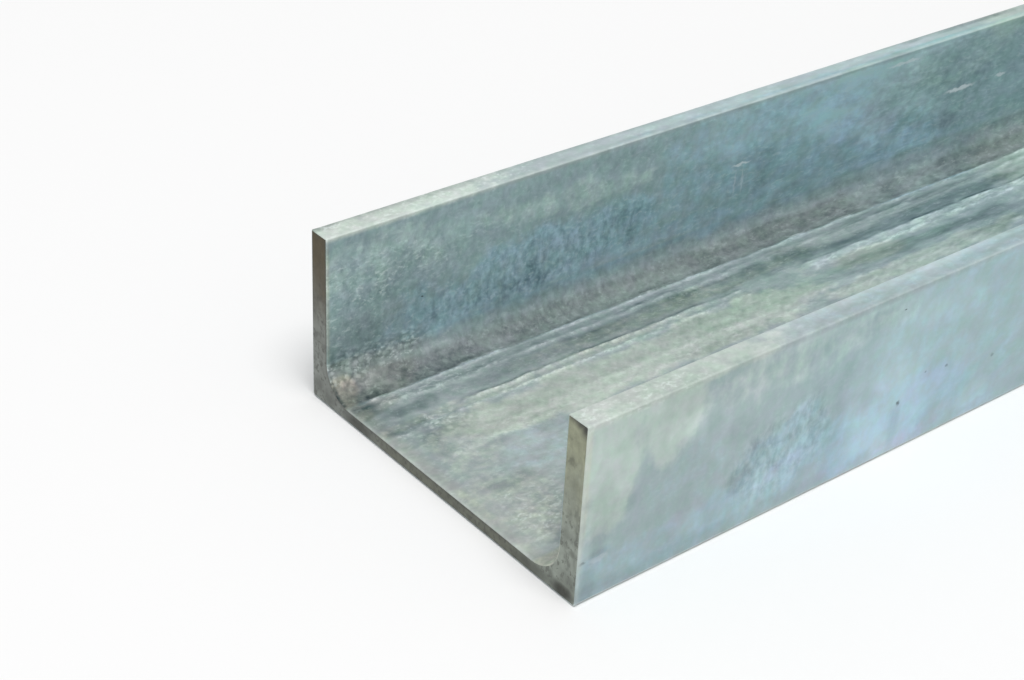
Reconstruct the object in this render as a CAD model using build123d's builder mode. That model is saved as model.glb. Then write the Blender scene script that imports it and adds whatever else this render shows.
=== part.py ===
"""Galvanized steel U-channel: one length of hot-rolled parallel-flange channel.

The whole piece is rolled in one, so it is a single solid. The web lies flat at the
bottom with the two flanges standing up. Width runs along X, length along Y and
height along Z. The origin is under the middle of the length, on the back of the web.
All sizes are in millimetres.
"""

import os

from build123d import *

# Rolled section
section_depth = 140.0  # across the web, from one flange's outside to the other's
flange_width = 65.0  # from the back of the web up to the flange toes
web_thickness = 5.0
flange_thickness = 9.0  # the same from root to toe, because the flanges don't taper
root_radius = 12.0  # inside fillet between the web and each flange
heel_radius = 2.0  # outside corner where the web's back turns into a flange
toe_radius = 0.8  # slight rounding left by the rolls on the square toes

# Cut piece
stock_length = 1000.0
cut_edge_radius = 0.5  # the sawn edges, softened by the zinc

# Worked out from the sizes above
trough_width = section_depth - 2 * flange_thickness
trough_depth = flange_width - web_thickness


with BuildPart() as u_channel:
    # The section is the full block with the open trough taken out of its top.
    with BuildSketch(Plane.XZ) as section:
        Rectangle(section_depth, flange_width, align=(Align.CENTER, Align.MIN))
        with Locations((0, web_thickness)):
            Rectangle(
                trough_width,
                trough_depth,
                align=(Align.CENTER, Align.MIN),
                mode=Mode.SUBTRACT,
            )
        # From the bottom up, the corners are the heels, the roots and the toes.
        fillet(section.vertices().group_by(Axis.Y)[1], root_radius)
        fillet(section.vertices().group_by(Axis.Y)[0], heel_radius)
        fillet(section.vertices().group_by(Axis.Y)[-1], toe_radius)
    extrude(amount=stock_length / 2, both=True)

    # Both sawn ends have their sharp edges softened all the way round.
    sawn_ends = u_channel.faces().filter_by(Axis.Y)
    fillet(sawn_ends.edges(), cut_edge_radius)

u_channel.part.label = "u_channel"

os.makedirs("parts", exist_ok=True)
export_step(u_channel.part, "parts/u_channel.step")
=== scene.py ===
import bpy
import numpy as np
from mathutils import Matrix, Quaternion, Vector


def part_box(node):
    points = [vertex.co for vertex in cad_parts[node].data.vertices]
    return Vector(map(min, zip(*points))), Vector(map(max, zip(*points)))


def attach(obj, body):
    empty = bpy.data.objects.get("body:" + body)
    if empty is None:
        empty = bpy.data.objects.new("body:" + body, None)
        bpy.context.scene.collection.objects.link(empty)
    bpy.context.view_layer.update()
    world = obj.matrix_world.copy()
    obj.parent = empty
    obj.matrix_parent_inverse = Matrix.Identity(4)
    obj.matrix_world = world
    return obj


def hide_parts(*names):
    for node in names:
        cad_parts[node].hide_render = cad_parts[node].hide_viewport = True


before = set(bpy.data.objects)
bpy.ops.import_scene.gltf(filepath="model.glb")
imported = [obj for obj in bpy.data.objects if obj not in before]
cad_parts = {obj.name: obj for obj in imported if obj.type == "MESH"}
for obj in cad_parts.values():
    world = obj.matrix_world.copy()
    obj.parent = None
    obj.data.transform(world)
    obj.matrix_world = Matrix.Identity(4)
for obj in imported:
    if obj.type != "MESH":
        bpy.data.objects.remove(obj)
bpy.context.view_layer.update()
boxLow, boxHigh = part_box("u_channel")

mm = 0.001  # lists of places and sizes are written in millimetres

# The rolled section. Its depth, height and length come from the frame.
channel = {
    "flangeThickness": 0.009,
    "webThickness": 0.005,
    "rootRadius": 0.012,  # inside, between the web and each flange
    "heelRadius": 0.0013,  # outside corners at the floor
    "toeRadius": 0.0008,  # both corners of each flange's top
    "sawnEdgeRadius": 0.0005,
    "runsEnd": -0.006,  # the web's points stand close from its far root to here, for its zinc runs
}
halfDepth = boxHigh.x
height = boxHigh.z
cutEnd = boxLow.y  # the end nearest the camera
length = boxHigh.y - boxLow.y
innerHalf = halfDepth - channel["flangeThickness"]  # from the middle to a flange's inside


def smoothStep(low, high, values):
    # 0 below low and 1 above high, with t * t * (3 - 2t) in between. It falls where low is the larger.
    t = np.clip((values - low) / (high - low), 0, 1)
    return t * t * (3 - 2 * t)


def softNoise(places, size, seed, layers=1):
    # Smooth noise of about -1 to 1. Random numbers stand at the corners of boxes of this size and are
    # blended with t * t * (3 - 2t) on each axis. Each further layer is half as large and half as strong.
    total, strength = 0, 1
    for layer in range(layers):
        table = np.random.default_rng(seed + layer).uniform(-1, 1, 8192)
        cells = places / np.asarray(size) * 2**layer
        low = np.floor(cells).astype(np.int64)
        t = cells - low
        t = t * t * (3 - 2 * t)
        for corner in np.ndindex(2, 2, 2):
            weight = np.where(corner, t, 1 - t).prod(-1)
            key = (low + corner) @ np.array([73856093, 19349663, 83492791])
            total = total + strength * weight * table[key % len(table)]
        strength /= 2
    return total


# Outline


def straightRun(face, start, end, step):
    # Even points from start to just short of end. The normal is the direction turned a quarter right.
    start, end = np.array(start), np.array(end)
    reach = np.hypot(*(end - start))
    count = max(2, round(reach / step))
    points = start + np.arange(count)[:, None] / count * (end - start)
    direction = (end - start) / reach
    return face, points, np.tile([direction[1], -direction[0]], (count, 1))


def arcRun(face, centre, radius, first, last, count):
    # Even points round centre between two angles, short of the last. An arc that turns left is an outside
    # corner, whose normal points away from the centre. One that turns right is a root, and its points at it.
    angles = np.radians(first + (last - first) * np.arange(count) / count)
    outward = np.stack([np.cos(angles), np.sin(angles)], 1)
    return face, np.array(centre) + radius * outward, outward * np.sign(last - first)


def outlineOf(part):
    # The section's closed outline, counter-clockwise from the middle of the web's back: the faces' names,
    # and points and outward normals as (across, up).
    web, root, heel, toe = (part[k] for k in ("webThickness", "rootRadius", "heelRadius", "toeRadius"))
    inner, outer, top = innerHalf, halfDepth, height
    rootTop, rootFoot = web + root, inner - root
    runs = [
        straightRun("back", (0, 0), (outer - heel, 0), 8 * mm),
        arcRun("nearHeel", (outer - heel, heel), heel, -90, 0, 6),
        straightRun("nearOutside", (outer, heel), (outer, top - toe), 2.0 * mm),
        arcRun("nearToe", (outer - toe, top - toe), toe, 0, 90, 5),
        straightRun("nearToe", (outer - toe, top), (inner + toe, top), 1.5 * mm),
        arcRun("nearToe", (inner + toe, top - toe), toe, 90, 180, 5),
        straightRun("nearInside", (inner, top - toe), (inner, rootTop), 3 * mm),
        arcRun("nearRoot", (rootFoot, rootTop), root, 0, -90, 10),
        straightRun("webTop", (rootFoot, web), (part["runsEnd"], web), 1.5 * mm),
        straightRun("webTop", (part["runsEnd"], web), (-rootFoot, web), 0.5 * mm),
        arcRun("farRoot", (-rootFoot, rootTop), root, -90, -180, 18),
        straightRun("farInside", (-inner, rootTop), (-inner, top - toe), 1.4 * mm),
        arcRun("farToe", (-inner - toe, top - toe), toe, 0, 90, 5),
        straightRun("farToe", (-inner - toe, top), (-outer + toe, top), 1.5 * mm),
        arcRun("farToe", (-outer + toe, top - toe), toe, 90, 180, 5),
        straightRun("farOutside", (-outer, top - toe), (-outer, heel), 3 * mm),
        arcRun("farHeel", (-outer + heel, heel), heel, 180, 270, 6),
        straightRun("back", (-outer + heel, 0), (0, 0), 8 * mm),
    ]
    faces = np.concatenate([[face] * len(points) for face, points, _ in runs])
    return faces, np.concatenate([r[1] for r in runs]), np.concatenate([r[2] for r in runs])


def stationsOf(part):
    # Distances from the cut end, closer together where the camera is, and how far the outline is drawn in
    # at each. Both sawn edges are a quarter circle: in by r(1 - sin t) at a distance of r(1 - cos t).
    spacings = [(60 * mm, 1 * mm), (200 * mm, 2 * mm), (360 * mm, 3 * mm), (length, 8 * mm)]
    radius = part["sawnEdgeRadius"]
    turn = np.radians([0, 22.5, 45, 67.5, 90])
    edge, drawnIn = radius * (1 - np.cos(turn)), radius * (1 - np.sin(turn))
    middle, start = [], radius
    for stop, spacing in spacings:
        stop = min(stop, length - radius)
        count = round((stop - start) / spacing)
        middle.append(start + (np.arange(count) + 1) / count * (stop - start))
        start = stop
    middle = np.concatenate(middle)[:-1]
    along = np.concatenate([edge, middle, length - edge[::-1]])
    inset = np.concatenate([drawnIn, np.zeros(len(middle)), drawnIn[::-1]])
    return along, inset


# Relief and zones

# Runs of zinc that froze on the web while the channel drained. A run is (middle, half width, height,
# paleness of the painted highlight on its crest, darkness of the painted shade on its far flank, start,
# stop, wander). The middle is measured across the web from its centre line, and the start and stop from the
# cut end. All lengths are in millimetres.
zincRuns = [
    (-49.0, 1.0, 0.42, 0.75, 0.35, 8, 1020, 0.35),
    (-46.6, 2.0, 0.10, 0.35, 0.00, 9, 48, 0.30),
    (-46.2, 2.2, 0.20, 0.00, 0.00, 5, 1020, 0.20),
    (-44.9, 0.9, 0.30, 0.50, 0.00, 10, 40, 0.50),
    (-43.3, 0.9, 0.34, 0.50, 0.25, 24, 178, 0.60),
    (-43.9, 1.0, 0.22, 0.30, 0.20, 168, 1020, 0.90),
    (-27.2, 0.9, 0.28, 0.65, 0.20, 27, 172, 0.40),
    (-29.1, 2.6, 0.16, 0.05, 0.00, 29, 173, 0.20),
    (-30.9, 0.8, 0.42, 0.65, 0.65, 34, 171, 0.40),
    (-29.1, 2.5, 0.42, 0.50, 0.00, 202, 1020, 0.25),
    (-26.9, 0.8, 0.26, 0.90, 0.30, 202, 1020, 0.35),
    (-31.2, 0.8, 0.32, 0.90, 1.00, 202, 1020, 0.40),
    (-13.2, 1.8, 0.16, 0.22, 0.20, 18, 1020, 0.60),
    (-8.3, 1.8, 0.15, 0.25, 0.15, 12, 1020, 0.60),
    (12.0, 2.0, 0.16, 0.25, 0.15, 90, 1020, 1.40),
    (33.5, 1.8, 0.24, 0.30, 0.30, 60, 1020, 1.00),
    (47.0, 1.6, 0.28, 0.45, 0.25, 25, 1020, 0.70),
]

# Where the tone, grain or brightness changes, by face. A mark is (distance from the cut end, second
# place, half length, half height, strength) in millimetres, with a tilt in degrees after it where it leans.
# The second place is the height on a flange or a root and the distance across on the web or a toe.
creamZones = {
    "nearOutside": [(8, 48, 14, 28, 1), (34, 56, 18, 17, 0.9, -20), (95, 58, 50, 12, 0.4)],
    "farInside": [(24, 52, 34, 14, 0.4), (105, 50, 50, 6, 0.5, -4), (320, 55, 45, 14, 0.4)],
    "farRoot": [(5, 14, 12, 9, 0.6)],
    "nearRoot": [(10, 10, 40, 12, 0.8)],
    "webTop": [
        (12, 25, 16, 24, 0.4), (22, -8, 20, 14, 0.45), (60, -30, 110, 3, 0.5), (105, -16, 98, 12, 1),
        (150, -38, 80, 5, 0.4), (250, -9, 70, 6, 0.8), (265, -29, 62, 3.5, 0.35),
    ],
    "farToe": [(20, -65.5, 60, 12, 0.9)],
    "nearToe": [(30, 65.5, 60, 12, 0.9)],
}
blueZones = {
    "nearOutside": [
        (30, 8, 60, 10, 0.45), (45, 24, 22, 20, 0.2), (58, 11, 14, 8, 0.6), (86, 20, 26, 18, 0.6),
        (116, 14, 18, 14, 0.6), (150, 18, 30, 13, 0.65), (165, 35, 46, 90, 0.35, -17),
    ],
    "farInside": [
        (88, 26, 70, 17, 0.75, 3), (165, 42, 14, 22, 0.5), (215, 42, 62, 26, 0.55),
        (220, 20, 140, 5, 0.5), (260, 58, 110, 9, 0.3), (265, 26, 50, 12, 0.5),
    ],
    "farRoot": [(110, 16, 110, 3.5, 0.7), (270, 16, 110, 3.5, 0.6), (305, 9, 50, 6, 1)],
    "webTop": [(40, 8, 22, 10, 0.3)],
    "farToe": [(240, -65.5, 100, 12, 0.15), (250, -62, 160, 2.5, 0.45)],
    "nearToe": [(160, 65.5, 120, 12, 0.35)],
}
# Lighter and darker patches, which are added up. They hold the zinc's own tone and also painted shade, such
# as the dark bands beside the runs on the web.
shadeZones = {
    "nearOutside": [
        (2, 20, 3, 10, 0.25), (2, 56, 3, 14, 0.25), (3, 5, 5, 7, -0.35), (8, 16, 4, 3, -0.6),
        (8, 30, 5, 14, -0.3), (12, 50, 16, 22, 0.3), (16, 31, 6, 6, -0.28), (40, 3, 70, 4, -0.3),
        (42, 54, 10, 12, 0.25, -30), (43, 57, 7, 5, -0.33), (45, 12, 7, 5, 0.3), (45, 46, 5, 5, 0.35),
        (65, 19, 5, 5, -0.55), (65, 40, 6, 5, -0.28), (70, 58, 50, 6, -0.25), (71, 24, 3, 12, -0.35, 2),
        (75, 16, 5, 4, 0.3), (80, 28, 12, 10, -0.3), (84, 22, 20, 17, 0.2), (95, 34, 52, 48, 0.35),
        (98, 30, 3, 13, -0.4, -3), (104, 22, 10, 5, -0.26), (112, 34, 5, 9, -0.3),
        (113, 17, 6, 5, -0.3), (118, 28, 12, 5, -0.25), (124, 4, 7, 3, -0.35), (124, 58, 6, 5, -0.35),
        (124, 63, 7, 3, 0.35), (128, 32, 10, 12, -0.25), (132, 20, 24, 22, 0.5, -17),
        (139, 11, 2.5, 8, -0.45), (150, 52, 7, 5, 0.28), (165, 52, 14, 8, 0.2),
        (172, 35, 50, 90, 0.45, -17), (180, 10, 8, 5, 0.28),
    ],
    "farInside": [
        (3, 19, 5, 3, -0.35), (6, 40, 12, 8, 0.3), (12, 40, 5, 3.5, -0.35), (12, 52, 6, 3.5, 0.35),
        (14, 22, 12, 10, -0.25, 10), (18, 38, 10, 4, -0.2), (18, 58, 9, 4, -0.25),
        (20, 50, 30, 13, 0.4), (25, 22, 6, 4, 0.25), (25, 40, 6, 3.5, -0.3), (33, 46, 11, 3.5, -0.28),
        (45, 34, 9, 4, -0.28), (55, 54, 8, 6, 0.3), (60, 56, 60, 9, 0.3), (76, 20, 20, 4.5, -0.45),
        (88, 27, 3.5, 5, -0.85, -12), (88, 35, 6, 3, -0.35), (92, 19, 3, 5, -0.75, 10),
        (105, 52, 6, 4, -0.3), (115, 51, 40, 6, 0.35), (135, 34, 14, 4, -0.35),
        (137, 26, 2.5, 8, -0.55, -14), (150, 18, 330, 3, 0.3), (150, 63.5, 220, 3, 0.25),
        (178, 53, 30, 10, 0.25), (209, 30, 6, 14, -0.35), (213, 22, 12, 4, 0.4),
        (225, 18.5, 9, 3, -0.4), (225, 52, 7, 4, 0.35), (225, 54, 66, 12, 0.5),
        (262, 37, 44, 7, 0.55, -22), (265, 28, 8, 5, 0.5), (265, 46, 12, 4, 0.4),
        (265, 54, 36, 11, 0.35), (265, 63, 50, 3, 0.3), (275, 40, 36, 8, 0.25), (285, 62, 50, 5, 0.4),
        (286, 34, 7, 5, -0.35, 20), (297, 41, 16, 6, 0.4), (305, 34, 10, 4, 0.45),
        (315, 20, 40, 4, 0.25), (320, 24, 12, 6, -0.35), (335, 50, 50, 16, -0.25),
    ],
    "farRoot": [
        (0.2, 9, 0.7, 6, -0.8), (3, 9, 4, 3, 0.4), (3, 15.5, 4, 2, -0.5), (6, 10.5, 12, 4.5, 0.42),
        (6, 16, 9, 2, -0.5), (8, 5.2, 10, 0.9, -0.7), (12, 9, 5, 2.4, 0.5), (12, 10, 5, 3, -0.35),
        (14, 7, 14, 2.5, 0.45), (22, 13.5, 10, 3, -0.35), (25, 7.5, 6, 3, -0.42), (25, 12, 6, 2.5, 0.4),
        (30, 13, 44, 3, 0.25), (40, 6.5, 60, 2.6, -0.35), (42, 9, 34, 2, 0.35), (68, 8, 8, 4, 0.35),
        (70, 5.5, 12, 1.6, 0.45), (70, 9, 8, 2.5, -0.35), (110, 7.5, 300, 2.6, -0.3),
        (140, 6, 25, 2, 0.35), (170, 14, 300, 4.5, 0.5), (205, 7, 10, 2.5, 0.4), (205, 7, 9, 3, -0.5),
        (215, 9, 80, 2, 0.3), (260, 7.5, 130, 2.4, -0.25), (265, 7, 11, 3, 0.5),
        (290, 16, 50, 2.5, 0.5), (298, 7, 14, 4, 0.5),
    ],
    "webTop": [
        (2, -46, 8, 6, -0.7), (3, -48, 6, 2, -0.4), (3, -40, 4, 8, 0.4), (3, -38, 4, 4, -0.45),
        (5, 44, 8, 7, 0.5), (7, -45.5, 11, 4.5, -0.5), (8, -38, 9, 6, -0.5), (8, -31, 10, 4, -0.55),
        (8, 32, 12, 18, 0.25), (11, -29, 7, 3.5, -0.45), (12, -32, 7, 3.5, 0.35), (12, -14, 5, 8, -0.4),
        (12, 36, 5, 4, 0.4), (14, -19, 16, 3, -0.3), (18, -37, 8, 3.5, -0.6), (18, 14, 9, 3.5, -0.4),
        (20, -21, 12, 4, -0.25), (22, -36, 14, 4, 0.3), (25, -37, 7, 4, -0.45),
        (40, -44, 20, 1.5, -0.35), (40, -37, 8, 4, 0.35), (40, -19, 7, 3, 0.4), (40, -1, 7, 5, 0.35),
        (42, 9, 20, 11, 0.3), (55, -44, 10, 1.6, -0.4), (55, -24, 8, 3, 0.35), (55, -8, 10, 3, -0.45),
        (95, -31, 14, 2, -0.4), (100, -46.3, 105, 1.7, -0.4), (105, -42, 14, 3, -0.35),
        (105, -38, 10, 3, -0.45), (105, -10, 85, 6, 0.35), (110, -38, 100, 5, -0.65),
        (125, -44.5, 12, 1.6, -0.4), (135, -23, 20, 3, -0.45), (135, -10, 22, 4, -0.35),
        (145, -48, 30, 1.8, 0.35), (145, -40, 8, 4, -0.4), (145, -8, 26, 3, -0.5),
        (150, -42, 40, 1.6, -0.35), (165, -38, 11, 3, 0.5), (195, -38, 44, 6, -0.55),
        (205, -39, 9, 6, -0.6), (205, -14, 9, 2.5, 0.55), (207, -29.3, 6, 3.2, 0.75),
        (225, -19, 14, 3, 0.35), (235, -46.6, 50, 1.5, -0.35), (238, -29.5, 26, 3.2, 0.55),
        (250, -20.5, 44, 4, -0.75), (265, -45.5, 40, 2, -0.35), (275, -43.5, 50, 2, -0.65),
        (285, -37, 68, 4, -1), (285, -9, 30, 3, -0.3), (292, -19, 24, 3, -0.4), (300, -14, 22, 8, -0.4),
    ],
    "farToe": [
        (3, -68.6, 6, 2.4, -1.1), (20, -69.6, 160, 1.3, -0.6), (20, -65.5, 70, 12, 0.75),
        (35, -69.2, 45, 1.8, -0.35), (45, -68, 45, 2, -0.3), (45, -62, 12, 2, 0.35),
        (60, -67, 25, 1.8, -0.28), (140, -65.5, 90, 12, 0.45), (165, -62, 50, 2.5, -0.4),
        (210, -66, 120, 3, 0.3), (290, -66, 60, 6, 0.4), (315, -69.2, 55, 1.6, -0.7),
        (320, -69, 45, 1.5, -0.4),
    ],
    "nearToe": [
        (4, 65.5, 12, 12, 0.35), (90, 65.5, 120, 12, 0.25), (100, 69.5, 90, 1.2, -0.3),
        (130, 62, 45, 2, 0.4), (130, 63, 60, 3, 0.25), (178, 62.2, 30, 2.4, 0.5),
    ],
}
warmZones = {
    "nearOutside": [(0.2, 38, 1.8, 30, 1)],
    "farInside": [(0.2, 42, 0.8, 26, 1.6)],
    "farRoot": [(2, 7, 6, 5, 2), (12, 6.8, 26, 3.6, 0.7)],
    "nearRoot": [(8, 10, 30, 12, 1)],
    "webTop": [
        (2, -46, 6, 7, 1.8), (6, -46, 12, 5, 1), (14, 28, 24, 22, 0.6), (110, -36, 60, 6, 0.5),
        (232, -23, 24, 5, 1), (260, -44, 70, 6, 0.5),
    ],
}
# Where the zinc leans to lilac, or to green where the strength is below 0.
castZones = {
    "nearOutside": [
        (8, 46, 5, 5, 0.5), (45, 16, 9, 4, 0.6), (88, 16, 10, 4, 0.6), (102, 4, 20, 2.5, 0.6),
        (124, 28, 20, 8, 0.4), (125, 9, 36, 9, 0.5), (150, 3.5, 22, 3, 1), (155, 22, 18, 7, 0.7),
        (190, 8, 30, 8, 0.3),
    ],
    "farInside": [
        (105, 34, 9, 5, 0.7), (140, 20, 60, 4, 0.35), (225, 34, 60, 14, 0.1), (265, 36, 20, 10, 0.6),
        (275, 63, 24, 3, -0.7), (300, 22, 60, 6, 0.4),
    ],
    "farRoot": [(4, 7, 5, 3, 0.4), (12, 8, 6, 2, 0.6), (50, 7, 36, 2.5, 0.4), (190, 13, 190, 4.5, 0.5)],
    "webTop": [
        (3, -47.5, 4, 2, 0.6), (115, -27.5, 16, 1.6, -0.6), (125, -28.5, 9, 3, 0.7),
        (160, -33, 55, 9, -0.4), (175, -20, 36, 6, -0.7), (245, -26.5, 12, 2, -0.5),
        (245, -21, 40, 4, -0.8),
    ],
    "farToe": [(260, -61.5, 14, 1, -0.6), (300, -62.3, 60, 1.6, -0.8), (340, -61.5, 12, 1, -0.6)],
}
# Tall dashes where the zinc ran down a flange, small lumps with painted light and shade on them, and rounded
# beads.
dripZones = {
    "nearOutside": [(84, 24, 26, 18, 0.8)],
    "farInside": [(90, 28, 64, 14, 1.25, 3), (200, 34, 62, 20, 0.6), (300, 36, 60, 26, 0.8)],
}
# Amounts of painted lumps: the light and shade of small lumps, painted into the colour.
paintedLumpZones = {
    "farInside": [(6, 34, 9, 9, 0.8), (20, 46, 34, 9, 1), (85, 50, 60, 5, 0.6)],
    "farRoot": [(12, 14, 28, 6, 1)],
    "webTop": [(16, 32, 16, 16, 0.8), (20, -27, 14, 6, 0.8), (30, -45, 30, 3, 0.6)],
    "farToe": [(40, -65.5, 60, 8, 0.9)],
    "nearToe": [(18, 65.5, 36, 8, 0.8)],
}
beadZones = {
    "farInside": [(14, 18, 26, 2, 0.8), (20, 46, 34, 14, 0.3)],
    "farRoot": [(5, 11.5, 12, 6, 1.1), (22, 15, 26, 3.5, 0.95), (70, 15, 60, 3, 0.15)],
    "webTop": [(20, 34, 22, 18, 0.3), (22, -24, 14, 7, 0.5)],
}


def runsOnWeb(across, along):
    # All the runs' heights in metres, the painted highlight on their crests and the painted shade on their
    # flanks. Each run is a bell curve across, e to the -(d/w)^2, that swings from side to side, rises and
    # falls along its length and has blunt ends. Its painted flank shade is a second bell beside it.
    height, crestHighlight, flankShade = (np.zeros(np.broadcast(across, along).shape) for _ in range(3))
    track = np.stack([0 * along, along, 0 * along], -1)
    for number, (middle, halfWidth, rise, pale, dark, starts, stops, wander) in enumerate(zincRuns):
        swing = softNoise(track, 22 * mm, 40 + number, layers=3) * wander * mm
        swing += 0.45 * mm * softNoise(track, 5 * mm, 140 + number, layers=2)
        swell = 1 + 0.6 * softNoise(track, 9 * mm, 80 + number, layers=3)
        ends = smoothStep(starts * mm, (starts + 2.5) * mm, along)
        ends = ends * smoothStep(stops * mm, (stops - 6) * mm, along)
        away = (across - middle * mm - swing) / (halfWidth * mm)
        bell = np.exp(-(away**2)) * swell * ends
        height += rise * mm * bell
        # The crest's painted highlight and the far flank's painted shade go into the colour only.
        crestHighlight += pale * swell * ends * np.exp(-1.6 * away**2)
        flankShade += dark * swell * ends * np.exp(-((away + 1.8) ** 2))
    return height, crestHighlight, flankShade


def zonesFrom(marks, faces, second, along, swayAlong, swaySecond, strongest=True):
    # Ellipses with soft, swaying edges: 1 well inside, 0 from a fifth beyond the reach. Either the strongest
    # mark holds at a point or all are added up.
    total = np.zeros(swayAlong.shape)
    for face, listed in marks.items():
        rows = faces == face
        for middle, place, halfLength, halfHeight, strength, *tilt in listed:
            turn = np.radians(tilt[0] if tilt else 0)
            there = along - middle * mm + swayAlong[rows] * min(0.4 * halfLength, 7) * mm
            aside = second[rows] - place * mm + swaySecond[rows] * min(0.4 * halfHeight, 5) * mm
            u = (there * np.cos(turn) + aside * np.sin(turn)) / (halfLength * mm)
            v = (aside * np.cos(turn) - there * np.sin(turn)) / (halfHeight * mm)
            mask = strength * smoothStep(1.2, 0.65, np.hypot(u, v))
            total[rows] = np.maximum(total[rows], mask) if strongest else total[rows] + mask
    return total


def surfaceOf(faces, points, along):
    # How far the surface stands out from the outline, in metres, and the fields that the finish reads.
    # The rows are points of the outline and the columns are stations.
    across, up = points[:, :1], points[:, 1:]
    step = along[None]
    shape = (len(points), len(along))
    places = np.stack(np.broadcast_arrays(across, cutEnd + step, up), -1)
    named = {name: (faces == name)[:, None] for name in set(faces)}
    root = named["farRoot"] | named["nearRoot"]
    flat = named["webTop"] | named["farToe"] | named["nearToe"] | named["back"]
    second = np.where(flat, across, up)

    # Tones. Clouds of their own are stronger where the photograph shows nothing.
    swayAlong = softNoise(places, 15 * mm, 11, layers=3)
    swaySecond = softNoise(places, 13 * mm, 21, layers=3)
    shown = named["farInside"] | named["webTop"] | named["nearOutside"] | flat | root
    freely = np.where(shown, 0.45 + 0.55 * smoothStep(300 * mm, 380 * mm, step), 1.0)
    clouds = softNoise(places, (45 * mm, 75 * mm, 34 * mm), 31, layers=4) * freely
    given = (faces, second, step, swayAlong, swaySecond)
    cream = np.maximum(zonesFrom(creamZones, *given), smoothStep(0.25, 0.9, clouds))
    blue = np.maximum(zonesFrom(blueZones, *given), 0.6 * smoothStep(-0.1, -0.8, clouds))
    shade = zonesFrom(shadeZones, *given, strongest=False)
    shade += 0.35 * freely * softNoise(places, (22 * mm, 30 * mm, 18 * mm), 61, layers=3)
    cast = zonesFrom(castZones, *given, strongest=False)
    drips = zonesFrom(dripZones, *given)
    paintedLumps = zonesFrom(paintedLumpZones, *given)
    beads = zonesFrom(beadZones, *given)

    # Coarse zinc grain sits at the cut end of the far flange, along the roots and on the web.
    inside = named["farInside"] | named["nearInside"]
    atEnd = smoothStep(90 * mm, 10 * mm, step)
    upper = smoothStep(7 * mm, 13 * mm, up)
    grain = np.broadcast_to(0.5 + 0.3 * named["farInside"] * atEnd, shape)
    topStrip = named["farInside"] * smoothStep(55 * mm, 59 * mm, up)
    grain = grain - 0.45 * topStrip * smoothStep(45 * mm, 20 * mm, step)
    grain = np.where(root, 0.5 + 0.25 * upper * atEnd, grain)
    grain = np.where(named["webTop"], 0.62, grain)
    grain = np.where(named["nearOutside"], 0.3, grain)
    everywhere = [named["webTop"], named["nearOutside"], inside, root]
    paintedLumps = np.maximum(paintedLumps, np.select(everywhere, [0.25, 0.08, 0.4, 0.22], 0.2))
    strokes = np.where(named["webTop"], 0.5 + 0.5 * smoothStep(40 * mm, 200 * mm, step), 0)
    strokes = np.where(named["farToe"] | named["nearToe"], 0.4, strokes)
    drips = np.maximum(drips, np.where(inside, 0.55, np.where(root, 0.62, 0.12)))
    drips = np.where(named["webTop"], 0, drips)

    # A cooler tint lies on the insides and further along, and a warmer one on the web's and root's near end.
    # On the insides the cool tint is painted shade: the bluer light of the shaded trough.
    later = smoothStep(180 * mm, 320 * mm, step)
    cool = 0.65 + 0.15 * smoothStep(110 * mm, 200 * mm, step) + 0.15 * later
    cool = cool - 0.2 * smoothStep(38 * mm, 30 * mm, up) * smoothStep(135 * mm, 100 * mm, step)
    cool = np.where(inside, cool, 0)
    rootFilm = 0.65 * smoothStep(20 * mm, 60 * mm, step) * upper + 0.2 * later * (1 - upper)
    cool = np.where(root, 0.25 + rootFilm, cool)
    cool = np.where(named["nearRoot"], 0.5 * smoothStep(20 * mm, 120 * mm, step), cool)
    cool = np.where(named["webTop"], 0.5 * smoothStep(150 * mm, 300 * mm, step), cool)
    cool = np.where(named["nearOutside"], 0.3 + 0.35 * smoothStep(55 * mm, 120 * mm, step), cool)
    toeFilm = 0.12 * smoothStep(10 * mm, 60 * mm, step) + 0.27 * smoothStep(90 * mm, 180 * mm, step)
    toeFilm = toeFilm + 0.5 * smoothStep(-65 * mm, -63 * mm, across) * later * named["farToe"]
    cool = np.where(named["farToe"] | named["nearToe"], toeFilm, cool)
    warm = np.where(named["webTop"], 0.25 * smoothStep(150 * mm, 40 * mm, step), 0)
    warm = np.where(named["webTop"], np.maximum(warm, smoothStep(9 * mm, 2 * mm, step)), warm)
    warm = np.maximum(warm, zonesFrom(warmZones, *given))
    ripple = softNoise(places, 2.3 * mm, 7, layers=2)
    # The grain is laid along a distance that runs half as fast from the middle of the picture on.
    pace = 1 - 0.5 * smoothStep(80 * mm, 260 * mm, along)
    laid = np.concatenate([[0], np.cumsum((pace[1:] + pace[:-1]) / 2 * np.diff(along))])

    onWeb = named["webTop"] | named["farRoot"]
    runs, crestHighlight, flankShade = (np.where(onWeb, values, 0) for values in runsOnWeb(across, step))
    # The runs' far flanks take their painted shade. Both heels are painted much paler, to fill the shade
    # under their curve down to the floor, and the near flange's outside is a little paler all over.
    shade = shade - flankShade + 1.8 * (named["nearHeel"] | named["farHeel"]) + 0.25 * named["nearOutside"]
    lift = 0.5 * smoothStep(15 * mm, 75 * mm, step) - 0.15 + 0.18 * smoothStep(24 * mm, 34 * mm, up)
    shade = shade + named["farInside"] * lift
    wave = 0.07 * mm * softNoise(places, 70 * mm, 3) + 0.03 * mm * softNoise(places, 19 * mm, 5)
    relief = wave + runs + grain * 0.06 * mm * ripple
    inward = ~(named["webTop"] | root | named["farInside"] | named["nearInside"])
    relief = np.where(inward, np.minimum(relief - 0.1 * mm, 0), relief)
    relief = np.where(named["back"], 0, relief)
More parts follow.
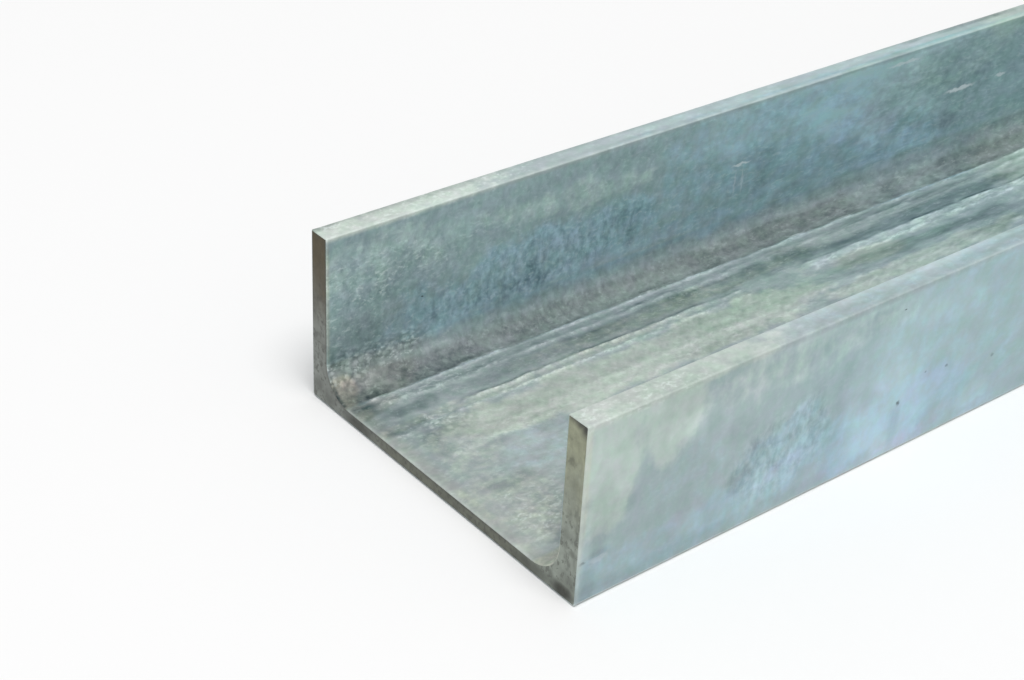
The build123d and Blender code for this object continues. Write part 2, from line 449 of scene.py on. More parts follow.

    # The edges keep a thin bead of zinc, painted pale as the highlight that a rounded edge catches, and the
    # relief dies out towards the sawn ends.
    corners = [(x, height) for x in (-halfDepth, -innerHalf, innerHalf, halfDepth)]
    corners += [(-halfDepth, 0), (halfDepth, 0)]
    away = np.min([np.hypot(*(points - np.array(corner)).T) for corner in corners], axis=0)[:, None]
    ends = np.minimum(step, length - step)
    relief *= smoothStep(0, 2 * mm, ends)
    atEdge = np.where(across > 0, 0.35, 0.5) * np.exp(-((away / (0.9 * mm)) ** 2))
    level = named["webTop"] | named["nearToe"] | named["farToe"]
    atSaw = 0.3 * level * np.exp(-((ends / (0.6 * mm)) ** 2))
    atSaw = atSaw + 0.45 * named["nearOutside"] * np.exp(-((ends / (1.5 * mm)) ** 2))
    edgeBeadAndHighlight = np.maximum(atEdge, atSaw)
    sway = 1.5 * mm * swaySecond
    outer = smoothStep(48 * mm, 50.5 * mm, abs(across) + sway / 2)
    rooted = root | inside | named["webTop"]
    outer = outer * np.where(across > 0, smoothStep(5 * mm, 60 * mm, step), 1)
    rootTone = np.where(rooted, smoothStep(21.5 * mm, 9.5 * mm, up + sway - 2 * mm * later) * outer, 0)
    fields = {"cream": cream, "blue": blue, "root": rootTone, "cool": cool, "warm": warm}
    fields |= {"shade": shade, "crestHighlight": crestHighlight, "grain": grain, "drips": drips, "strokes": strokes}
    fields |= {"paintedLumps": paintedLumps, "beads": beads, "cast": cast, "laid": laid[None], "edgeBeadAndHighlight": edgeBeadAndHighlight}
    return relief, {name: np.broadcast_to(field, shape) for name, field in fields.items()}


# Mesh


def buildChannel():
    # The outline carried along the length, as a grid of four-sided faces closed by one face at each end.
    faces, points, normals = outlineOf(channel)
    along, inset = stationsOf(channel)
    relief, fields = surfaceOf(faces, points, along)
    section = points[:, None] + normals[:, None] * (relief - inset)[..., None]
    rows, columns = relief.shape
    y = np.broadcast_to(cutEnd + along, relief.shape)
    vertices = np.stack([section[..., 0], y, section[..., 1]], -1).reshape(-1, 3)

    here = np.arange(rows)[:, None] * columns + np.arange(columns - 1)
    there = np.roll(np.arange(rows), -1)[:, None] * columns + np.arange(columns - 1)
    quads = np.stack([here, here + 1, there + 1, there], -1).reshape(-1, 4)
    firstEnd = np.arange(rows) * columns
    lastEnd = firstEnd[::-1] + columns - 1

    mesh = bpy.data.meshes.new("u_channel_zinc")
    corners = np.concatenate([quads.ravel(), firstEnd, lastEnd])
    sizes = np.concatenate([np.full(len(quads), 4), [rows, rows]])
    mesh.vertices.add(len(vertices))
    mesh.vertices.foreach_set("co", vertices.ravel())
    mesh.loops.add(len(corners))
    mesh.loops.foreach_set("vertex_index", corners)
    mesh.polygons.add(len(sizes))
    mesh.polygons.foreach_set("loop_start", np.concatenate([[0], np.cumsum(sizes)[:-1]]))
    mesh.polygons.foreach_set("material_index", (sizes != 4).astype(np.int32))
    mesh.polygons.foreach_set("use_smooth", sizes == 4)
    for name, field in fields.items():
        mesh.attributes.new(name, "FLOAT", "POINT").data.foreach_set("value", field.ravel())
    addMap(mesh, points, along, quads, vertices[firstEnd], vertices[lastEnd])
    mesh.update(calc_edges=True)
    mesh.validate()

    piece = bpy.data.objects.new("u_channel_zinc", mesh)
    bpy.context.scene.collection.objects.link(piece)
    print(f"channel: {len(points)} points round, {len(along)} stations, {len(quads)} faces")
    return piece


def addMap(mesh, points, along, quads, firstEnd, lastEnd):
    # The bake's map: the skin unrolled over most of the picture, and the two ends side by side below it.
    foot, endWidth, endHeight, gap = 0.09, 0.47, 0.075, 0.01
    steps = np.hypot(*(np.roll(points, -1, 0) - points).T)
    around = np.concatenate([[0], np.cumsum(steps)]) / steps.sum()
    columns = len(along)
    row, column = quads // columns, quads % columns
    u = around[row]
    u[:, 2:] = around[row[:, :1] + 1]
    v = foot + (1 - foot) * along[column] / length
    skin = np.stack([u, v], -1).reshape(-1, 2)
    ends = []
    for number, loop in enumerate((firstEnd, lastEnd)):
        x = (loop[:, 0] + halfDepth) / (2 * halfDepth)
        left = gap + number * (endWidth + gap)
        ends.append(np.stack([left + x * endWidth, gap / 2 + loop[:, 2] / height * endHeight], -1))
    layer = mesh.uv_layers.new(name="OFBake")
    layer.uv.foreach_set("vector", np.concatenate([skin, *ends]).astype(np.float32).ravel())


# Nodes


def setSocket(tree, socket, value):
    # A socket is either linked to another or set to a value.
    if isinstance(value, bpy.types.NodeSocket):
        tree.links.new(value, socket)
    else:
        socket.default_value = value


def addNode(tree, kind, inputs=None, **settings):
    node = tree.nodes.new(kind)
    for name, value in settings.items():
        setattr(node, name, value)
    for name, value in (inputs or {}).items():
        setSocket(tree, node.inputs[name], value)
    return node


def maths(tree, operation, first, second=0.0, third=0.0, clamp=False):
    inputs = {0: first, 1: second, 2: third}
    return addNode(tree, "ShaderNodeMath", inputs, operation=operation, use_clamp=clamp).outputs[0]


def vectorMaths(tree, operation, first, second=(0, 0, 0)):
    node = addNode(tree, "ShaderNodeVectorMath", {0: first, 1: second}, operation=operation)
    return node.outputs["Value" if operation in ("LENGTH", "DISTANCE") else "Vector"]


def mixed(tree, share, first, second, blend="MIX", within=True):
    # Two colours mixed. The colour sockets of this node are numbers 6 and 7. With within off, a share below
    # 0 or above 1 goes on past the two colours.
    inputs = {0: share, 6: first, 7: second}
    settings = {"data_type": "RGBA", "blend_type": blend, "clamp_factor": within}
    return addNode(tree, "ShaderNodeMix", inputs, **settings).outputs[2]


def mixedValue(tree, share, first, second):
    return addNode(tree, "ShaderNodeMix", {0: share, 2: first, 3: second}).outputs[0]


def ranged(tree, value, low, high, newLow=0.0, newHigh=1.0, kind="SMOOTHSTEP"):
    inputs = {"Value": value, "From Min": low, "From Max": high, "To Min": newLow, "To Max": newHigh}
    return addNode(tree, "ShaderNodeMapRange", inputs, interpolation_type=kind).outputs["Result"]


def brightened(tree, colour, factor):
    node = addNode(tree, "ShaderNodeVectorMath", {0: colour}, operation="SCALE")
    tree.links.new(factor, node.inputs["Scale"])
    return node.outputs["Vector"]


def fromHex(text):
    # A picture colour such as "#8FA3A6" as the linear colour that a shader takes.
    part = np.array([int(text[i : i + 2], 16) for i in (1, 3, 5)]) / 255
    linear = np.where(part <= 0.04045, part / 12.92, ((part + 0.055) / 1.055) ** 2.4)
    return (*map(float, linear), 1.0)


def newGroup(name, inputs, outputs):
    # An empty shader group with named sockets: (tree, its input sockets, its output node).
    tree = bpy.data.node_groups.new(name, "ShaderNodeTree")
    kinds = {"value": "NodeSocketFloat", "vector": "NodeSocketVector", "colour": "NodeSocketColor"}
    for socket, kind, start in inputs:
        made = tree.interface.new_socket(socket, in_out="INPUT", socket_type=kinds[kind])
        if start is not None:
            made.default_value = start
    for socket, kind in outputs:
        tree.interface.new_socket(socket, in_out="OUTPUT", socket_type=kinds[kind])
    return tree, tree.nodes.new("NodeGroupInput").outputs, tree.nodes.new("NodeGroupOutput")


def placeGroup(tree, group, inputs):
    # A group's outputs, by name. The tree is set first, because it makes the sockets.
    node = addNode(tree, "ShaderNodeGroup", None, node_tree=group)
    for name, value in inputs.items():
        setSocket(tree, node.inputs[name], value)
    return node.outputs


def makePlacedMark():
    # 1 inside an ellipsoid round Centre, falling to 0 at its surface over the share Edge of its reach.
    inputs = [("Place", "vector", None), ("Centre", "vector", None)]
    inputs += [("Reach", "vector", (1, 1, 1)), ("Edge", "value", 0.5)]
    tree, given, made = newGroup("placedMark", inputs, [("Mask", "value")])
    away = vectorMaths(tree, "SUBTRACT", given["Place"], given["Centre"])
    away = vectorMaths(tree, "LENGTH", vectorMaths(tree, "DIVIDE", away, given["Reach"]))
    full = maths(tree, "SUBTRACT", 1.0, given["Edge"])
    tree.links.new(ranged(tree, away, 1.0, full), made.inputs["Mask"])
    return tree


def makeStretchedGrain():
    # Noise of 0 to 1 whose features are about Size long on each axis, turned about the height by Turn.
    # Contrast pulls it away from a half.
    inputs = [("Place", "vector", None), ("Size", "vector", (0.002, 0.002, 0.002)), ("Turn", "value", 0.0)]
    inputs += [("Detail", "value", 2.0), ("Contrast", "value", 1.0)]
    tree, given, made = newGroup("stretchedGrain", inputs, [("Value", "value")])
    turn = addNode(tree, "ShaderNodeCombineXYZ", {"Z": given["Turn"]}).outputs[0]
    inputs = {"Vector": given["Place"], "Rotation": turn, "Scale": given["Size"]}
    place = addNode(tree, "ShaderNodeMapping", inputs, vector_type="TEXTURE").outputs[0]
    inputs = {"Vector": place, "Scale": 1.0, "Detail": given["Detail"], "Roughness": 0.55}
    noise = addNode(tree, "ShaderNodeTexNoise", inputs).outputs[0]
    centred = maths(tree, "SUBTRACT", noise, 0.5)
    value = maths(tree, "MULTIPLY_ADD", centred, given["Contrast"], 0.5, clamp=True)
    tree.links.new(value, made.inputs["Value"])
    return tree


def makeFlecks():
    # Small spots, one in a share of the cells of a Voronoi pattern whose cells are Size long on each axis.
    # Radius is a share of a cell.
    inputs = [("Place", "vector", None), ("Size", "vector", (0.003, 0.003, 0.003))]
    inputs += [("Radius", "value", 0.3), ("Share", "value", 0.3)]
    tree, given, made = newGroup("flecks", inputs, [("Mask", "value")])
    place = vectorMaths(tree, "DIVIDE", given["Place"], given["Size"])
    cells = addNode(tree, "ShaderNodeTexVoronoi", {"Vector": place, "Scale": 1.0})
    full = maths(tree, "MULTIPLY", given["Radius"], 0.4)
    spot = ranged(tree, cells.outputs["Distance"], given["Radius"], full)
    chance = addNode(tree, "ShaderNodeSeparateColor", {"Color": cells.outputs["Color"]}).outputs[0]
    kept = maths(tree, "LESS_THAN", chance, given["Share"])
    tree.links.new(maths(tree, "MULTIPLY", spot, kept), made.inputs["Mask"])
    return tree


def makeBeads():
    # Rounded grains packed side by side, Size long on each axis. Height is 1 in a grain's middle and 0 in
    # the creases between them. PaintedGlint is a painted highlight on the middles of a share of them.
    inputs = [("Place", "vector", None), ("Size", "vector", (0.002, 0.002, 0.002)), ("Share", "value", 0.15)]
    tree, given, made = newGroup("beads", inputs, [("Height", "value"), ("PaintedGlint", "value")])
    place = vectorMaths(tree, "DIVIDE", given["Place"], given["Size"])
    cells = addNode(tree, "ShaderNodeTexVoronoi", {"Vector": place, "Scale": 1.0})
    away = cells.outputs["Distance"]
    tree.links.new(ranged(tree, away, 0.70, 0.15), made.inputs["Height"])
    chance = addNode(tree, "ShaderNodeSeparateColor", {"Color": cells.outputs["Color"]}).outputs[0]
    kept = maths(tree, "LESS_THAN", chance, given["Share"])
    paintedGlint = maths(tree, "MULTIPLY", ranged(tree, away, 0.38, 0.18), kept)
    tree.links.new(paintedGlint, made.inputs["PaintedGlint"])
    return tree


def makePaintedLitGrain():
    # Painted light and shade of small lumps lit from one side: a noise less the same noise a Shift further
    # on, on 0 to 1. It only colours; the bump doesn't read it.
    inputs = [("Place", "vector", None), ("Size", "vector", (0.001, 0.001, 0.001))]
    inputs += [("Shift", "vector", (0, 0, 0)), ("Contrast", "value", 3.0)]
    tree, given, made = newGroup("paintedLitGrain", inputs, [("Value", "value")])
    heights = []
    for place in (given["Place"], vectorMaths(tree, "ADD", given["Place"], given["Shift"])):
        inputs = {"Vector": vectorMaths(tree, "DIVIDE", place, given["Size"]), "Scale": 1.0, "Detail": 2.0}
        heights.append(addNode(tree, "ShaderNodeTexNoise", inputs).outputs[0])
    slope = maths(tree, "SUBTRACT", *heights)
    value = maths(tree, "MULTIPLY_ADD", slope, given["Contrast"], 0.5, clamp=True)
    tree.links.new(value, made.inputs["Value"])
    return tree


def makeWarpedPlace():
    # The place moved about by noise, so that marks laid on it get ragged edges.
    inputs = [("Place", "vector", None), ("Size", "value", 0.01), ("Amount", "value", 0.004)]
    tree, given, made = newGroup("warpedPlace", inputs, [("Place", "vector")])
    scale = maths(tree, "DIVIDE", 1.0, given["Size"])
    inputs = {"Vector": given["Place"], "Scale": scale, "Detail": 2.0}
    noise = addNode(tree, "ShaderNodeTexNoise", inputs).outputs["Color"]
    moved = vectorMaths(tree, "SUBTRACT", noise, (0.5, 0.5, 0.5))
    node = addNode(tree, "ShaderNodeVectorMath", {0: moved}, operation="SCALE")
    tree.links.new(maths(tree, "MULTIPLY", given["Amount"], 2.0), node.inputs["Scale"])
    total = vectorMaths(tree, "ADD", given["Place"], node.outputs["Vector"])
    tree.links.new(total, made.inputs["Place"])
    return tree


placedMark = makePlacedMark()
stretchedGrain = makeStretchedGrain()
flecks = makeFlecks()
beads = makeBeads()
paintedLitGrain = makePaintedLitGrain()
warpedPlace = makeWarpedPlace()
print("node groups made")


# Finishes

# Where a fine mark lies. Marks are (face, distance from the cut end, second place, half length, half height,
# strength) in millimetres, with the second place as for the zones.
facePlaces = {
    "farInside": lambda along, second: (-innerHalf, cutEnd + along, second),
    "nearOutside": lambda along, second: (halfDepth, cutEnd + along, second),
    "webTop": lambda along, second: (second, cutEnd + along, channel["webThickness"]),
}
markDepth = 0.0045  # half a flange, so that a mark stays on its own side


def addMarks(tree, place, marks, edge):
    # The strongest of several placed marks, as one value.
    total = None
    for face, along, second, halfLength, halfHeight, strength in marks:
        reach = [markDepth, halfLength * mm, halfHeight * mm]
        if face == "webTop":
            reach = [halfHeight * mm, halfLength * mm, markDepth]
        centre = facePlaces[face](along * mm, second * mm)
        inputs = {"Place": place, "Centre": centre, "Reach": reach, "Edge": edge}
        value = maths(tree, "MULTIPLY", placeGroup(tree, placedMark, inputs)["Mask"], strength)
        total = value if total is None else maths(tree, "MAXIMUM", total, value)
    return total


zincSkin = {
    "tones": {  # each tone's dark and light zinc
        "grey": ("#738384", "#B2BFBF"),
        "blue": ("#6C848D", "#ADC4CC"),
        "cream": ("#84928A", "#C8D3CB"),
        "root": ("#4F5857", "#97A09B"),
    },
    "cool": (0.805, 1.0, 1.045, 1.0),  # multiplied in where the tint is cooler, on the insides as painted shade
    "warm": (1.08, 1.0, 0.93, 1.0),
    # the pale edges' colour, partly a painted highlight
    "rim": "#D0D9D4",
    "paintedGlint": "#D5E0DE",
    "pit": "#3F4A4C",
    "scratch": "#DCE5E8",
    "metallic": 0.3,
    "roughness": (0.54, 0.66),
    "bumpDepth": 0.00014,
    "lilac": (1.045, 0.985, 1.035, 1.0),  # the film's two casts
    "green": (0.965, 1.01, 0.975, 1.0),
    "mottle": 0.24,  # how strongly each pattern lightens and darkens
    "paintedLumps": 0.36,
    "drips": 0.50,
    "strokes": 0.24,
    "beads": 0.62,
    "lightRange": (-0.45, 1.35),  # how far past its two colours a tone goes
    "beadSize": (0.0022, 0.0028, 0.0021),
    "paintedLumpSize": (0.0018, 0.0025, 0.0017),
    "towardsLight": (0.0004, 0.0, 0.0005),
    "fibreTurn": -0.70,  # radians about the height, so that the fibres lean across the web
    "pits": [
        ("nearOutside", 135, 57.5, 1.0, 0.6, 0.9),
        ("nearOutside", 139.5, 20, 1.3, 1.4, 0.75),
        ("nearOutside", 162.5, 26.5, 1.2, 1.0, 0.5),
        ("nearOutside", 151.5, 28, 0.7, 0.6, 0.45),
        ("nearOutside", 188, 22, 1.3, 1.0, 0.4),
        ("nearOutside", 1.5, 15.6, 2.0, 0.9, 0.5),
        ("farInside", 39.5, 30.5, 0.7, 0.7, 0.95),
    ],
    "scratches": [
        ("farInside", 192.5, 39.5, 6.0, 0.8, 0.75),
        ("farInside", 190, 32, 0.8, 7, 0.25),
        ("farInside", 194, 32, 0.8, 7, 0.25),
        ("farInside", 323, 39.5, 12.5, 1.3, 0.9),
        ("farInside", 350, 39.5, 4.5, 1.1, 0.75),
        ("farInside", 283, 60.6, 14, 0.9, 0.6),
        ("nearOutside", 8, 15, 5, 1.6, 0.22),
    ],
}


def makeZincSkin(look):
    # Hot-dip zinc gone dull. Each tone runs from a dark to a light zinc by one value, which adds up the
    # zones, runs, mottle, painted lumps, drips, strokes and beads, with painted highlight and shade among
    # them.
    # Painted glints, pits, scratches and pale rims lie on top, the rims partly a painted highlight.
    material = bpy.data.materials.new("zincSkin")
    material.use_nodes = True
    tree = material.node_tree
    shader = tree.nodes["Principled BSDF"]
    place = addNode(tree, "ShaderNodeTexCoord").outputs["Object"]

    def attribute(name):
        return addNode(tree, "ShaderNodeAttribute", None, attribute_name=name).outputs["Fac"]

    x, _, z = addNode(tree, "ShaderNodeSeparateXYZ", {0: place}).outputs
    inputs = {"X": x, "Y": attribute("laid"), "Z": z}
    laid = addNode(tree, "ShaderNodeCombineXYZ", inputs).outputs[0]

    def grain(size, contrast, detail=2.0, turn=0.0, where=laid):
        inputs = {"Place": where, "Size": size, "Contrast": contrast, "Detail": detail, "Turn": turn}
        return placeGroup(tree, stretchedGrain, inputs)["Value"]

    def centred(value, amount, total):
        # Adds a pattern of 0 to 1, less a half, times an amount.
        value = maths(tree, "SUBTRACT", value, 0.5)
        return maths(tree, "MULTIPLY_ADD", value, amount, total)

    wavy = placeGroup(tree, warpedPlace, {"Place": laid, "Size": 0.006, "Amount": 0.0014})["Place"]
    frayed = placeGroup(tree, warpedPlace, {"Place": place, "Size": 0.0026, "Amount": 0.0011})["Place"]
    mottle = grain((0.0023, 0.0026, 0.0030), 2.6, 2.5)
    patches = grain((0.0050, 0.0065, 0.0085), 2.2, 3.0)
    hue = grain((0.0050, 0.0060, 0.0055), 3.2, 2.0)
    drips = grain((0.0019, 0.0024, 0.0033), 3.2, 3.0, 0.0, wavy)
    strokes = grain((0.0021, 0.0070, 0.0019), 2.8, 1.0, 0.0, wavy)
    fibres = grain((0.0056, 0.0021, 0.0056), 2.8, 1.0, look["fibreTurn"], wavy)
    strokes = mixedValue(tree, attribute("cream"), strokes, fibres)
    # Painted lumps: the light and shade of small lumps, put into the colour towards the light.
    inputs = {"Place": wavy, "Size": look["paintedLumpSize"], "Shift": look["towardsLight"]}
    paintedLumps = placeGroup(tree, paintedLitGrain, inputs)["Value"]
    paintedLumpAmount = maths(tree, "MULTIPLY", attribute("paintedLumps"), ranged(tree, patches, 0.1, 0.8, 0.4, 1.2))
    crystals = placeGroup(tree, beads, {"Place": frayed, "Size": look["beadSize"], "Share": 0.15})

    def ragged(value):
        # A soft zone broken up at its edge by the patches and the mottle.
        value = centred(mottle, 0.25, centred(patches, 0.45, value))
        return ranged(tree, value, 0.1, 0.9)

    coarse = attribute("grain")
    # The runs' crests take their painted highlight, broken up by the painted lumps.
    lumpy = maths(tree, "MULTIPLY", attribute("crestHighlight"), ranged(tree, paintedLumps, 0.2, 0.8, 0.4, 1.6, "LINEAR"))
    light = maths(tree, "MULTIPLY_ADD", maths(tree, "ADD", attribute("shade"), lumpy), 0.5, 0.5)
    light = centred(patches, 0.2, light)
    light = centred(mottle, maths(tree, "MULTIPLY", coarse, look["mottle"]), light)
    light = centred(paintedLumps, maths(tree, "MULTIPLY", paintedLumpAmount, look["paintedLumps"]), light)
    light = centred(drips, maths(tree, "MULTIPLY", attribute("drips"), look["drips"]), light)
    light = centred(strokes, maths(tree, "MULTIPLY", attribute("strokes"), look["strokes"]), light)
    # The beads lighten their middles and darken the creases between them in the colour: painted highlight
    # and crease shade, besides their bump below.
    light = centred(crystals["Height"], maths(tree, "MULTIPLY", attribute("beads"), look["beads"]), light)
    darkest, palest = look["lightRange"]
    light = maths(tree, "MINIMUM", maths(tree, "MAXIMUM", light, darkest), palest)

    tones = {}
    for name, (dark, pale) in look["tones"].items():
        tones[name] = mixed(tree, light, fromHex(dark), fromHex(pale), within=False)
    colour = mixed(tree, ragged(attribute("blue")), tones["grey"], tones["blue"])
    colour = mixed(tree, ragged(attribute("cream")), colour, tones["cream"])
    root = centred(mottle, 0.22, attribute("root"))
    colour = mixed(tree, ranged(tree, root, 0.1, 0.9, 0.0, 0.85), colour, tones["root"])
    colour = mixed(tree, attribute("cool"), colour, look["cool"], "MULTIPLY")
    colour = mixed(tree, attribute("warm"), colour, look["warm"], "MULTIPLY", within=False)
    hue = maths(tree, "SUBTRACT", hue, attribute("cast"))
    cast = mixed(tree, hue, look["lilac"], look["green"], within=False)
    colour = mixed(tree, 1.0, colour, cast, "MULTIPLY")

    # Painted glints: bright spots on the lit tops of the painted lumps and on a share of the beads.
    paintedGlints = maths(tree, "MULTIPLY", ranged(tree, paintedLumps, 0.70, 1.0), paintedLumpAmount)
    paintedGlints = maths(tree, "MULTIPLY_ADD", crystals["PaintedGlint"], attribute("beads"), paintedGlints)
    colour = mixed(tree, maths(tree, "MULTIPLY", paintedGlints, 0.38, clamp=True), colour, fromHex(look["paintedGlint"]))

    pits = addMarks(tree, frayed, look["pits"], 0.8)
    inputs = {"Place": frayed, "Size": (0.03, 0.03, 0.03), "Radius": 0.028, "Share": 0.22}
    pits = maths(tree, "MAXIMUM", pits, placeGroup(tree, flecks, inputs)["Mask"])
    colour = mixed(tree, pits, colour, fromHex(look["pit"]))
    colour = mixed(tree, addMarks(tree, frayed, look["scratches"], 0.6), colour, fromHex(look["scratch"]))
    # The pale edges: a bead of zinc with a painted highlight along the rounded edges.
    rim = maths(tree, "MULTIPLY", attribute("edgeBeadAndHighlight"), ranged(tree, patches, 0.1, 0.9, 0.5, 1.1))
    colour = mixed(tree, rim, colour, fromHex(look["rim"]))

    rough = ranged(tree, mottle, 0.0, 1.0, *look["roughness"], "LINEAR")
    bump = maths(tree, "MULTIPLY", mottle, coarse)
    bump = maths(tree, "MULTIPLY_ADD", crystals["Height"], attribute("beads"), bump)
    inputs = {"Height": bump, "Distance": look["bumpDepth"], "Strength": 1.0}
    normal = addNode(tree, "ShaderNodeBump", inputs).outputs["Normal"]

    tree.links.new(colour, shader.inputs["Base Color"])
    tree.links.new(rough, shader.inputs["Roughness"])
    tree.links.new(normal, shader.inputs["Normal"])
    shader.inputs["Metallic"].default_value = look["metallic"]
    return material


sawnEnd = {
    "farTop": "#4C432E",
    "farLow": "#7E837E",
    "nearTop": "#92967F",
    "nearLow": "#8E968D",
    "web": "#64675C",
    "dark": "#3E403A",
    "rim": "#B9C0B6",
    "metallic": 0.25,
    "roughness": 0.6,
    "bumpDepth": 0.0002,
    "darkSpots": [  # across, height, half width, half height, strength
        (69.8, 64.2, 5, 6, 1.0),  # the dark upper corner
        (66.8, 65.6, 8.5, 4.2, 1.0),
        (62.5, 65.4, 5, 3, 0.8),
        (70.3, 57, 1.1, 9, 0.8),
        (64.5, 32, 2.4, 3.6, 0.28),
        (64, 24, 4, 3.4, 0.30),
        (64, 19.8, 3.4, 1.6, 0.30),
        (67.4, 18.6, 2.6, 1.6, 0.50),
        (58.3, 5.4, 2.4, 2.2, 0.35),
        (66.2, 6, 7, 6, 0.42),
        (68.2, 30, 0.9, 30, 0.25),
        # The spots at a height of 2 to 2.5 are painted shadow along the foot, where the end stands on the
        # floor.
        (64, 2.5, 9, 4.5, 1.0),
        (66, 40, 5, 9, 0.20),
        (-43, 2, 13, 4.5, 0.85),
        (50, 2, 14, 4.5, 0.60),
        (-60, 4, 6, 5, 0.40),
        (-66, 6, 4, 5, 0.40),
        (-69.8, 45, 1.1, 24, 0.5),
        (-61.4, 55, 0.7, 12, 0.6),
        (-66, 64.8, 5, 0.8, 0.5),
        (-64, 32, 1.2, 1.0, 0.7),
        (-56.4, 9.2, 1.6, 1.6, 0.6),
        (-58.5, 12, 1.4, 2.4, 0.6),
    ],
}


def makeSawnEnd(look):
    # The sawn steel under a thin film, brown at the top of the far flange and olive on the near one, darker
    # round its edges, with a painted shadow along its foot and a pale bead of zinc along the inside.
    material = bpy.data.materials.new("sawnEnd")
    material.use_nodes = True
    tree = material.node_tree
    shader = tree.nodes["Principled BSDF"]
    place = addNode(tree, "ShaderNodeTexCoord").outputs["Object"]
    x, _, z = addNode(tree, "ShaderNodeSeparateXYZ", {0: place}).outputs

    def grain(size, contrast, detail=2.0):
        inputs = {"Place": place, "Size": size, "Contrast": contrast, "Detail": detail}
        return placeGroup(tree, stretchedGrain, inputs)["Value"]

    # How deep a point lies inside the section: the open side is a box with round lower corners, whose
    # distance is the length of what sticks out past it less the root radius.
    out = maths(tree, "SUBTRACT", maths(tree, "ABSOLUTE", x), innerHalf - channel["rootRadius"])
    below = maths(tree, "SUBTRACT", channel["webThickness"] + channel["rootRadius"], z)
    sides = [maths(tree, "MAXIMUM", value, 0.0) for value in (out, below)]
    corner = addNode(tree, "ShaderNodeCombineXYZ", {"X": sides[0], "Y": sides[1]}).outputs[0]
    inner = maths(tree, "SUBTRACT", vectorMaths(tree, "LENGTH", corner), channel["rootRadius"])

    wander = grain((0.008, 0.008, 0.008), 2.0)
    mottle = grain((0.0030, 0.0030, 0.0042), 2.2, 4.0)
    level = maths(tree, "MULTIPLY_ADD", maths(tree, "SUBTRACT", wander, 0.5), 0.012, z)
    rise = ranged(tree, level, 0.018, 0.058)
    far = mixed(tree, rise, fromHex(look["farLow"]), fromHex(look["farTop"]))
    near = mixed(tree, rise, fromHex(look["nearLow"]), fromHex(look["nearTop"]))
    colour = mixed(tree, ranged(tree, x, -0.05, -0.02), far, fromHex(look["web"]))
    colour = mixed(tree, ranged(tree, x, 0.035, 0.062), colour, near)
    specks = ranged(tree, grain((0.0013, 0.0013, 0.0019), 3.0, 3.0), 0.40, 0.10)
    specks = maths(tree, "MULTIPLY", specks, ranged(tree, z, 0.05, 0.02, 0.1, 0.55))
    dark = maths(tree, "MAXIMUM", maths(tree, "MULTIPLY", ranged(tree, mottle, 0.35, 0.05), 0.3), specks)
    frayed = placeGroup(tree, warpedPlace, {"Place": place, "Size": 0.004, "Amount": 0.0010})["Place"]
    for across, up, halfWidth, halfHeight, strength in look["darkSpots"]:
        for end in (cutEnd, cutEnd + length):
            centre = (across * mm, end, up * mm)
            reach = (halfWidth * mm, 0.004, halfHeight * mm)
            inputs = {"Place": frayed, "Centre": centre, "Reach": reach, "Edge": 0.8}
            spot = maths(tree, "MULTIPLY", placeGroup(tree, placedMark, inputs)["Mask"], strength)
            dark = maths(tree, "MAXIMUM", dark, spot)
    colour = mixed(tree, dark, colour, fromHex(look["dark"]))
    # Darker along the inside edge, except on the near flange.
    darkInsideEdge = maths(tree, "MULTIPLY", ranged(tree, inner, 0.0018, 0.0006), ranged(tree, x, 0.050, 0.038))
    colour = mixed(tree, maths(tree, "MULTIPLY", darkInsideEdge, 0.45), colour, fromHex(look["dark"]))
    rim = maths(tree, "MULTIPLY", ranged(tree, inner, 0.0008, 0.0001), ranged(tree, wander, 0.3, 0.8))
    rim = maths(tree, "MULTIPLY", rim, ranged(tree, x, -0.052, -0.046, 0.1, 0.45))
    colour = mixed(tree, rim, colour, fromHex(look["rim"]))
    light = maths(tree, "MULTIPLY_ADD", maths(tree, "SUBTRACT", mottle, 0.5), 0.42, 1.0)
    tree.links.new(brightened(tree, colour, light), shader.inputs["Base Color"])
    shader.inputs["Metallic"].default_value = look["metallic"]
    shader.inputs["Roughness"].default_value = look["roughness"]
    inputs = {"Height": mottle, "Distance": look["bumpDepth"], "Strength": 0.7}
    tree.links.new(addNode(tree, "ShaderNodeBump", inputs).outputs["Normal"], shader.inputs["Normal"])
    return material


# The piece

piece = buildChannel()
piece.data.materials.append(makeZincSkin(zincSkin))
piece.data.materials.append(makeSawnEnd(sawnEnd))
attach(piece, "root")
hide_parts("u_channel")
print("finishes made")

# Floor, light and camera

studio = {
    "floorHalf": 6.0,
    "floorDrop": 0.0002,  # just under the web's back, so that the two faces don't fight
    "floorSeen": 0.864,
    "floorLit": 0.88,
    "floorFades": (1.3, 2.6),
    "skyColour": (0.975, 0.975, 0.975, 1),
    "skyStrength": 0.55,
    "keyPlace": (3.0, -1.6, 8.8),
    "keySize": 5.6,
    "keyPower": 605.0,
}


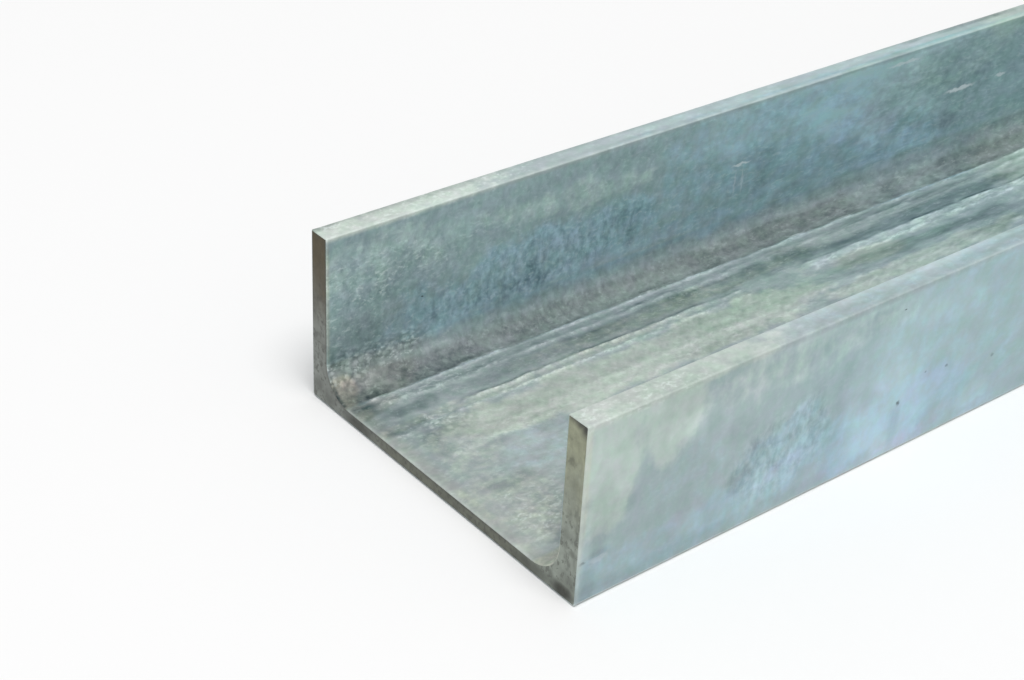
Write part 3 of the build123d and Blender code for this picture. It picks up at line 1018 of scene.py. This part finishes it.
def makeFloor():
    mesh = bpy.data.meshes.new("floor")
    reach, level = studio["floorHalf"], -studio["floorDrop"]
    corners = [(x * reach, y * reach, level) for x, y in ((-1, -1), (1, -1), (1, 1), (-1, 1))]
    mesh.from_pydata(corners, [], [(0, 1, 2, 3)])
    floor = bpy.data.objects.new("floor", mesh)
    bpy.context.scene.collection.objects.link(floor)
    material = bpy.data.materials.new("paleFloor")
    material.use_nodes = True
    tree = material.node_tree
    shader = tree.nodes["Principled BSDF"]
    path = addNode(tree, "ShaderNodeLightPath").outputs
    seen = maths(tree, "MAXIMUM", path["Is Camera Ray"], path["Is Glossy Ray"])
    lit, plain = (4 * [studio[key]] for key in ("floorLit", "floorSeen"))
    colour = mixed(tree, seen, lit, plain)
    tree.links.new(colour, shader.inputs["Base Color"])
    # Far out the floor fades into the sky, so that a level view shows no horizon.
    place = addNode(tree, "ShaderNodeTexCoord").outputs["Object"]
    out = vectorMaths(tree, "LENGTH", place)
    far = maths(tree, "MULTIPLY", ranged(tree, out, *studio["floorFades"]), seen)
    sky = addNode(tree, "ShaderNodeEmission", {"Color": studio["skyColour"]}).outputs[0]
    both = addNode(tree, "ShaderNodeMixShader", {0: far, 1: shader.outputs[0], 2: sky}).outputs[0]
    tree.links.new(both, tree.nodes["Material Output"].inputs["Surface"])
    shader.inputs["Roughness"].default_value = 1.0
    shader.inputs["Specular IOR Level"].default_value = 0.0
    mesh.materials.append(material)


def makeSky():
    world = bpy.data.worlds.new("studio")
    bpy.context.scene.world = world
    world.use_nodes = True
    tree = world.node_tree
    path = addNode(tree, "ShaderNodeLightPath").outputs
    seen = maths(tree, "MAXIMUM", path["Is Camera Ray"], path["Is Glossy Ray"])
    strength = ranged(tree, seen, 0.0, 1.0, studio["skyStrength"], 1.0, "LINEAR")
    tree.links.new(strength, tree.nodes["Background"].inputs["Strength"])
    tree.nodes["Background"].inputs["Color"].default_value = studio["skyColour"]


def makeLamp(name, place, target, size, power):
    lamp = bpy.data.lights.new(name, "AREA")
    lamp.shape, lamp.size, lamp.energy = "DISK", size, power
    holder = bpy.data.objects.new(name, lamp)
    bpy.context.scene.collection.objects.link(holder)
    holder.location = place
    holder.rotation_mode = "QUATERNION"
    holder.rotation_quaternion = (Vector(target) - Vector(place)).to_track_quat("-Z", "Y")


camera = {
    "place": (0.3854, -0.7970, 0.3598),
    "lookAt": (-0.0526, -0.4261, 0.0050),
    "roll": 3.08,  # degrees
    "lens": 65.9,  # millimetres on a 36 mm sensor
}


def makeCamera():
    lens = bpy.data.cameras.new("camera")
    lens.lens, lens.sensor_width, lens.clip_start = camera["lens"], 36, 0.01
    holder = bpy.data.objects.new("camera", lens)
    bpy.context.scene.collection.objects.link(holder)
    holder.location = camera["place"]
    ahead = Vector(camera["lookAt"]) - Vector(camera["place"])
    holder.rotation_mode = "QUATERNION"
    turn = Quaternion((0, 0, 1), np.radians(camera["roll"]))
    holder.rotation_quaternion = ahead.to_track_quat("-Z", "Y") @ turn
    bpy.context.scene.camera = holder


makeFloor()
makeSky()
makeLamp("key", studio["keyPlace"], (0, -0.2, 0), studio["keySize"], studio["keyPower"])
makeCamera()
bpy.context.scene.view_settings.view_transform = "Standard"
print("studio made")
